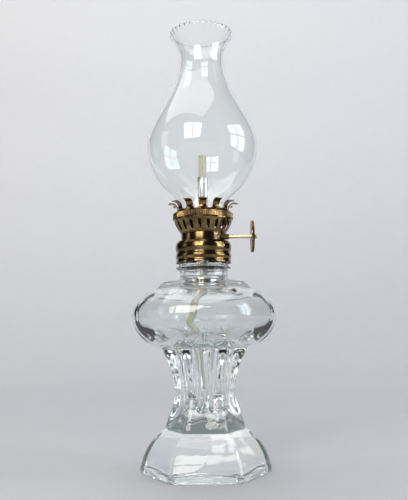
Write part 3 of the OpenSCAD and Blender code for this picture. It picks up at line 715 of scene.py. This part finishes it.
def milled_rim():
    """The rolled rim with its milled edge."""
    def milling(angle, radii, heights):
        on_face = smooth((radii - (RIM_R - 0.35)) / 0.3)
        tick = 0.5 + 0.5 * np.cos(RIM_TICKS * angle)
        return radii - RIM_CUT * on_face * tick ** 1.5, heights

    under_z = RIM_Z - SHEET + 0.05
    outline = rounded([
        (BASKET_TOP_R, RIM_LOW_Z), (RIM_R, RIM_LOW_Z), (RIM_R, RIM_Z),
        (CROWN_R, RIM_Z), (CROWN_R, under_z), (BASKET_TOP_R, under_z),
    ], 0.42, 6)
    return turned("milled_rim", outline, BRASS, "burner", ["knurled_rim"],
                  around=RIM_TICKS * 8, shape=milling, crease=50)


def prong_profile(curl):
    """Points of the crown's sheet, from the skirt up and out over the curl: radius, height, length so far."""
    path = [(CROWN_R - 0.02, RIM_LOW_Z), (CROWN_R - 0.02, RIM_Z), (PRONG_R + SHEET, BAND_TOP_Z)]
    centre = PRONG_R + CURL_R + SHEET
    for k in range(25):
        a = math.radians(180 - curl * k / 24)
        path.append((centre + CURL_R * math.cos(a), CURL_Z + CURL_R * math.sin(a)))
    path = np.array(rounded(path, 0.7, 4, closed=False))
    length = np.concatenate([[0], np.cumsum(np.linalg.norm(np.diff(path, axis=0), axis=1))])
    return path, length


def curled_prongs():
    """The gallery's crown: twelve sprung prongs cut from one cup and curled outwards."""
    rng = random.Random(12)
    columns = 13
    points, faces = [], []
    for i in range(PRONG_COUNT):
        path, length = prong_profile(CURL_ANGLE - 1 + rng.uniform(-4, 2))
        total = length[-1]
        root = (BAND_TOP_Z - RIM_LOW_Z) * 0.86
        half_part = math.pi * PRONG_R / PRONG_COUNT
        gap = half_part - PRONG_W / 2
        tip = PRONG_W / 2
        quarter = np.linspace(0, math.pi / 2, 9)
        end = np.linspace(0, math.pi / 2, 12) * 0.995
        rows = np.unique(np.concatenate([
            np.linspace(0, root, 8),
            root + gap * (1 - np.cos(quarter)),
            np.linspace(root + gap, total - tip, 26),
            total - tip * (1 - np.sin(end)),
        ]))
        lean, twist = rng.uniform(-0.012, 0.012), rng.uniform(-0.05, 0.05)
        first = len(points)
        for v in rows:
            r, z = np.interp(v, length, path[:, 0]), np.interp(v, length, path[:, 1])
            part = math.pi * r / PRONG_COUNT
            if v <= root:
                half = part
            elif v <= root + gap:
                opened = math.sqrt(max(0, gap ** 2 - (gap - (v - root)) ** 2))
                half = part - opened * part / half_part
            else:
                half = PRONG_W / 2
            if v > total - tip:
                half = PRONG_W / 2 * math.sqrt(max(0.0004, 1 - ((v - total + tip) / tip) ** 2))
            free = float(smooth((v - root) / (total - root)))
            for c in range(columns):
                u = -1 + 2 * c / (columns - 1)
                turn = math.radians(270 + i * 360 / PRONG_COUNT) + u * half / r + lean * free
                points.append((r * math.cos(turn), r * math.sin(turn), z + free * twist * u * 2))
        for j in range(len(rows) - 1):
            for c in range(columns - 1):
                a = first + j * columns + c
                faces.append((a, a + 1, a + columns + 1, a + columns))
    prongs = finished_mesh("curled_prongs", points, faces, BRASS, "burner", ["prong_crown"])
    thicken_sheet(prongs, RIM_LOW_Z)
    return prongs


def thicken_sheet(piece, level):
    """Thickens a sheet round the lamp's axis inwards. Its face nearest a level tells which way is out."""
    work = bmesh.new()
    work.from_mesh(piece.data)
    bmesh.ops.recalc_face_normals(work, faces=work.faces)
    work.faces.ensure_lookup_table()
    nearest = max(work.faces, key=lambda f: -abs(f.calc_center_median().z - level * MM))
    centre = nearest.calc_center_median()
    if nearest.normal.x * centre.x + nearest.normal.y * centre.y < 0:
        bmesh.ops.reverse_faces(work, faces=work.faces)
    work.to_mesh(piece.data)
    work.free()
    thicken(piece, SHEET, edge=0.06)
    piece.data.polygons.foreach_set("use_smooth", [True] * len(piece.data.polygons))
    piece.data.set_sharp_from_angle(angle=math.radians(50))


# Winder

def winder_pieces():
    peen_r = SHAFT_R + 0.25
    shaft = rounded([
        (0, SHAFT_IN_X), (SHAFT_R, SHAFT_IN_X), (SHAFT_R, SHAFT_OUT_X - 1.3), (peen_r, SHAFT_OUT_X - 1.1),
        (peen_r, SHAFT_OUT_X - 0.45), (SHAFT_R - 0.15, SHAFT_OUT_X), (0, SHAFT_OUT_X),
    ], 0.2, 4)
    turned("wire_shaft", shaft, PALE_BRASS, "winder", ["winder_shaft"],
           around=48, along_x=True)
    hole, collar_r, collar_x = SHAFT_R + 0.05, BUSH_R + 0.15, BUSH_IN_X + 0.5
    bush = rounded([
        (hole, BUSH_IN_X), (collar_r, BUSH_IN_X), (collar_r, collar_x), (BUSH_R, collar_x),
        (BUSH_R, BUSH_OUT_X), (hole, BUSH_OUT_X),
    ], 0.15, 3)
    turned("turned_bush", bush, DARK_BRASS, "burner", ["shaft_bush"],
           around=64, along_x=True)
    thumb_wheel()


def thumb_wheel():
    """The winder's wheel: a notched disc pierced with six holes, made as a filled and bevelled outline."""
    curve = bpy.data.curves.new("thumb_outline", "CURVE")
    curve.dimensions, curve.fill_mode = "2D", "BOTH"
    rim = []
    for k in range(THUMB_NOTCHES * 12):
        a = 2 * math.pi * k / (THUMB_NOTCHES * 12)
        across = math.asin(math.sin(THUMB_NOTCHES * a / 2)) / 0.62
        notch = max(0, 1 - across ** 2) ** 0.5
        rim.append(((THUMB_R - 0.12 - 0.42 * notch) * MM, a))
    outlines = [[(r * math.cos(a), r * math.sin(a)) for r, a in rim]]
    hole_ring = (THUMB_R + SHAFT_R) * 0.52
    places = [(0.0, 0.0, SHAFT_R + 0.1)]
    for k in range(THUMB_HOLES):
        a = math.radians(90 + k * 360 / THUMB_HOLES)
        places.append((hole_ring * math.cos(a), hole_ring * math.sin(a), 1.62))
    for x, y, r in places:
        turns = [2 * math.pi * k / 40 for k in range(40)]
        outlines.append([((x + r * math.cos(t)) * MM, (y + r * math.sin(t)) * MM) for t in turns])
    for outline in outlines:
        spline = curve.splines.new("POLY")
        spline.points.add(len(outline) - 1)
        for point, (x, y) in zip(spline.points, outline):
            point.co = (x, y, 0, 1)
        spline.use_cyclic_u = True
    edge = 0.12
    curve.extrude, curve.bevel_depth, curve.bevel_resolution = (THUMB_T / 2 - edge) * MM, edge * MM, 2
    outline_piece = bpy.data.objects.new("thumb_outline", curve)
    bpy.context.scene.collection.objects.link(outline_piece)
    graph = bpy.context.evaluated_depsgraph_get()
    mesh = bpy.data.meshes.new_from_object(outline_piece.evaluated_get(graph))
    bpy.data.objects.remove(outline_piece)
    mesh.transform(Matrix((
        (0, 0, 1, (THUMB_X + THUMB_T / 2) * MM),
        (1, 0, 0, SHAFT_Y * MM),
        (0, 1, 0, SHAFT_Z * MM),
        (0, 0, 0, 1),
    )))
    wheel = bpy.data.objects.new("pierced_thumb_wheel", mesh)
    bpy.context.scene.collection.objects.link(wheel)
    dress(wheel, BRASS, "winder", ["thumb_wheel"])
    return wheel


# Tube and wick

def wick_tube():
    """The seamed steel tube, with the window that the feed wheels reach the wick through."""
    outline = rounded([
        (TUBE_IN_R, TUBE_LOW_Z), (TUBE_R, TUBE_LOW_Z), (TUBE_R, TUBE_Z), (TUBE_IN_R, TUBE_Z),
    ], 0.16, 4)

    def seam(angle, radii, heights):
        turn = (angle - math.radians(SEAM_ANGLE) + math.pi) % (2 * math.pi) - math.pi
        furrow = np.maximum(0, 1 - np.abs(turn) * TUBE_R / SEAM_HALF)
        return radii - SEAM_DEPTH * furrow * (radii > TUBE_R - 0.1), heights

    tube = turned("seamed_wick_tube", outline, STEEL, "burner", ["wick_tube"],
                  around=120, shape=seam)
    window = bpy.data.meshes.new("window")
    corners = [(x, y, z) for z in (SHAFT_Z - WINDOW_HALF_H, SHAFT_Z + WINDOW_HALF_H)
               for y in (-TUBE_R - 1, -0.9) for x in (-WINDOW_HALF_W, WINDOW_HALF_W)]
    sides = [(0, 2, 3, 1), (4, 5, 7, 6), (0, 1, 5, 4), (2, 6, 7, 3), (0, 4, 6, 2), (1, 3, 7, 5)]
    window.from_pydata([tuple(v * MM for v in c) for c in corners], [], sides)
    cutter = bpy.data.objects.new("window", window)
    bpy.context.scene.collection.objects.link(cutter)
    cut(tube, cutter)
    return tube


def wick_middle(z):
    """Sideways place of the wick's middle at a height: straight above, swaying in the fuel below."""
    t = np.clip((WICK_BEND_Z + 1 - z) / (WICK_BEND_Z + 1 - WICK_TAIL_Z), 0, 1)
    last = len(WICK_SWAY) - 1
    place = np.minimum(t * last, last - 0.0001)
    i = np.floor(place).astype(int)
    f = place - i
    sway = np.array(WICK_SWAY, float)
    a, b = sway[np.maximum(0, i - 1)], sway[i]
    c, d = sway[i + 1], sway[np.minimum(last, i + 2)]
    return (2 * b + (c - a) * f + (2 * a - 5 * b + 4 * c - d) * f ** 2 + (3 * b - a - 3 * c + d) * f ** 3) / 2


def braided_wick():
    """A round braid: two families of strands that cross, loose in the fuel, cut at the tip."""
    around, step = 64, 0.16
    heights = np.arange(WICK_TAIL_Z, WICK_Z + 0.001, step)
    angle = np.arange(around) * 2 * math.pi / around
    rings = []
    for z in heights:
        inside_tube = float(smooth((z - 100) / 4)) * float(smooth((152.5 - z) / 1.5))
        tail = math.sqrt(max(0.02, (z - WICK_TAIL_Z + 0.1) / 0.7))
        tip = math.sqrt(max(0.08, (WICK_Z - z + 0.1) / 0.9))
        end = min(1.0, tail, tip)
        lay = z * 2 * math.pi / BRAID_LAY
        left = 0.5 + 0.5 * np.cos(BRAID_STRANDS * angle + lay)
        right = 0.5 + 0.5 * np.cos(BRAID_STRANDS * angle - lay)
        over = 0.5 + 0.5 * np.cos(BRAID_STRANDS * angle) * math.cos(lay)
        weave = np.maximum(left * (0.55 + 0.45 * over), right * (1 - 0.45 * over))
        ply = 0.5 + 0.5 * np.cos(3 * BRAID_STRANDS * angle + z * 2 * math.pi / 0.9)
        loose = 1 - 0.06 * inside_tube
        radius = WICK_R * loose * (0.9 + 0.1 * weave + 0.012 * ply) * end
        x = float(wick_middle(np.array(z)))
        ring = [x + radius * np.cos(angle), radius * np.sin(angle), np.full(around, z)]
        rings.append(np.stack(ring, axis=-1))
    points = list(np.concatenate(rings))
    faces = ring_faces(len(rings), around)
    for ring, z, turn in ((0, WICK_TAIL_Z - 0.1, False), (len(rings) - 1, WICK_Z + 0.05, True)):
        middle = rings[ring].mean(axis=0)
        middle[2] = z
        points.append(middle)
        for k in range(around):
            n = (k + 1) % around
            pair = (ring * around + k, ring * around + n)
            faces.append((*pair, len(points) - 1) if turn else (*pair[::-1], len(points) - 1))
    return finished_mesh("braided_wick", points, faces, COTTON, "wick", ["wick"], crease=80)


def wick_fuzz():
    """Fine loose fibres at the wick's cut tip and along its side."""
    rng = random.Random(5)
    points, faces = [], []
    for k in range(150):
        at_tip = k < 80
        turn = rng.uniform(0, 2 * math.pi)
        z = WICK_Z - 0.3 if at_tip else rng.uniform(153, WICK_Z - 0.5)
        r = WICK_R * (math.sqrt(rng.random()) * 0.85 if at_tip else 0.95)
        start = np.array([r * math.cos(turn), r * math.sin(turn), z])
        out = np.array([math.cos(turn), math.sin(turn), 0.0])
        if at_tip:
            way = out * rng.uniform(0.1, 0.5) + np.array([0, 0, 1.0])
        else:
            way = out * 0.7 + np.array([0, 0, rng.uniform(-0.5, 1)])
        bend = np.array([rng.uniform(-0.5, 0.5) for _ in range(3)])
        size = rng.uniform(0.35, 0.75) if at_tip else rng.uniform(0.2, 0.42)
        first = len(points)
        for j in range(5):
            t = j / 4
            middle = start + (way * t + bend * t * t * 0.5) * size
            thin = 0.035 * (1 - 0.8 * t)
            for c in range(3):
                a = c * 2 * math.pi / 3
                points.append(middle + np.array([math.cos(a), math.sin(a), 0]) * thin)
        faces += [[first + i for i in face] for face in ring_faces(5, 3)]
        faces.append((first, first + 2, first + 1))
        faces.append((first + 12, first + 13, first + 14))
    return finished_mesh("wick_fibres", points, faces, COTTON, "wick", (), crease=80)


pressed_base()
blown_chimney()
rolled_cap()
burner_drum()
slotted_basket()
basket_rings()
milled_rim()
curled_prongs()
winder_pieces()
wick_tube()
braided_wick()
wick_fuzz()

KEPT = {
    "sealing_washer": WASHER,
    "floor_cup": DARK_BRASS,
    "tube_ferrule": DARK_BRASS,
    "shaft_bracket": DARK_BRASS,
    "chimney_seat": DARK_BRASS,
    "feed_wheel_left": STEEL,
    "feed_wheel_right": STEEL,
}
for node, paint in KEPT.items():
    part = frame["nodes"][node]
    part.data.materials.clear()
    part.data.materials.append(paint)


# Floor, backdrop, light and camera

def backdrop_paper():
    """Matt pale paper with painted shade: its colour is darker low down and to the right, standing in for
    light that falls off there.
    """
    paint = Paint("backdrop paper", Roughness=0.9, Specular_IOR_Level=0.1)
    tooth = paint.noise(60, 3, 0.5)
    pale = paint.mix(tooth, (0.8, 0.8, 0.81), (0.83, 0.83, 0.84))
    shade = paint.mix(tooth, (0.53, 0.535, 0.56), (0.56, 0.565, 0.59))
    x, _, z = paint.axes()
    # painted shade: a ramp that darkens the paper's colour towards the floor and to the right
    painted_shade_ramp = z.step(-0.15, 0.75) - 0.25 * x.step(-0.4, 0.6)
    paint.wear(Base_Color=paint.mix(painted_shade_ramp, shade, pale), Normal=paint.bump(tooth, 0.3))
    return paint.material


def backdrop():
    """A floor that sweeps up into a wall far behind the lamp, as one sheet."""
    profile = [(-1.6, 0.0), (-0.6, 0.0), (0.35, 0.0)]
    for k in range(1, 25):
        a = math.radians(90 * k / 24)
        profile.append((0.35 + 0.55 * math.sin(a), 0.55 * (1 - math.cos(a))))
    profile += [(0.9, 1.2), (0.9, 2.2)]
    xs = np.linspace(-0.75, 0.75, 12)
    points = [(x, y, z) for y, z in profile for x in xs]
    faces = []
    for i in range(len(profile) - 1):
        for k in range(len(xs) - 1):
            a = i * len(xs) + k
            faces.append((a, a + 1, a + 1 + len(xs), a + len(xs)))
    mesh = bpy.data.meshes.new("backdrop")
    mesh.from_pydata(points, [], faces)
    mesh.polygons.foreach_set("use_smooth", [True] * len(faces))
    mesh.materials.append(backdrop_paper())
    sheet = bpy.data.objects.new("backdrop", mesh)
    bpy.context.scene.collection.objects.link(sheet)


def soft_light(name, place, towards, size, watts, colour):
    light = bpy.data.lights.new(name, "AREA")
    light.shape, light.size, light.size_y = "RECTANGLE", size[0], size[1]
    light.energy, light.color = watts, colour
    lamp = bpy.data.objects.new(name, light)
    lamp.location = place
    way = Matrix.Translation(towards).to_translation() - lamp.location
    lamp.rotation_euler = way.to_track_quat("-Z", "Y").to_euler()
    bpy.context.scene.collection.objects.link(lamp)


def window_light(name, azimuth, elevation, distance, pane, bar, watts, colour):
    """Four panes in a two by two frame, seen as a window in the glass and brass."""
    a, e = math.radians(azimuth), math.radians(elevation)
    out = np.array([math.sin(a) * math.cos(e), -math.cos(a) * math.cos(e), math.sin(e)])
    side = np.array([math.cos(a), math.sin(a), 0.0])
    rise = np.cross(side, -out)
    rise = rise if rise[2] > 0 else -rise
    aim = np.array([0.0, 0.0, 0.12])
    for i in (-1, 1):
        for j in (-1, 1):
            place = aim + out * distance + side * i * (pane[0] + bar) / 2 + rise * j * (pane[1] + bar) / 2
            soft_light(f"{name}_{i}_{j}", place, place - out, pane, watts / 4, colour)


def lights():
    window_light("window", -20, 24, 1.5, (0.42, 0.5), 0.06, 19, (1.0, 0.95, 0.88))
    window_light("side_window", 78, 16, 1.6, (0.5, 0.6), 0.07, 20, (0.8, 0.89, 1.0))
    soft_light("ceiling", (-0.35, 0.25, 1.7), (-0.1, 0.6, 0.3), (2.0, 1.6), 16, (1.0, 1.0, 1.0))
    soft_light("left_fill", (-1.7, -0.2, 0.5), (0, 0, 0.1), (0.5, 0.9), 2, (1.0, 0.95, 0.88))


def world():
    """A dim room, pale where it is seen directly or through glass."""
    scene_world = bpy.data.worlds.new("room")
    bpy.context.scene.world = scene_world
    scene_world.use_nodes = True
    tree = scene_world.node_tree
    background = tree.nodes["Background"]
    path = tree.nodes.new("ShaderNodeLightPath")
    mix = tree.nodes.new("ShaderNodeMix")
    mix.data_type = "RGBA"
    mix.inputs[6].default_value = (0.03, 0.032, 0.036, 1)
    mix.inputs[7].default_value = (0.6, 0.61, 0.64, 1)
    through = tree.nodes.new("ShaderNodeMath")
    through.operation, through.inputs[1].default_value = "MULTIPLY", 0.6
    tree.links.new(path.outputs["Is Transmission Ray"], through.inputs[0])
    seen = tree.nodes.new("ShaderNodeMath")
    seen.operation = "MAXIMUM"
    tree.links.new(path.outputs["Is Camera Ray"], seen.inputs[0])
    tree.links.new(through.outputs[0], seen.inputs[1])
    tree.links.new(seen.outputs[0], mix.inputs[0])
    tree.links.new(mix.outputs[2], background.inputs["Color"])


def camera():
    data = bpy.data.cameras.new("camera")
    data.sensor_width, data.lens = 36, 47.16
    data.clip_start, data.clip_end = 0.01, 20
    eye = bpy.data.objects.new("camera", data)
    turn = Matrix.Rotation(math.radians(90 + 7.05), 4, "X") @ Matrix.Rotation(math.radians(-0.66), 4, "Z")
    eye.matrix_world = Matrix.Translation((0.0003, -0.3402, 0.07004)) @ turn
    bpy.context.scene.collection.objects.link(eye)
    bpy.context.scene.camera = eye


backdrop()
lights()
world()
camera()

scene = bpy.context.scene
scene.view_settings.view_transform = "Standard"
scene.cycles.max_bounces, scene.cycles.transmission_bounces, scene.cycles.glossy_bounces = 24, 20, 8
scene.cycles.transparent_max_bounces = 16
scene.cycles.caustics_refractive = scene.cycles.caustics_reflective = False
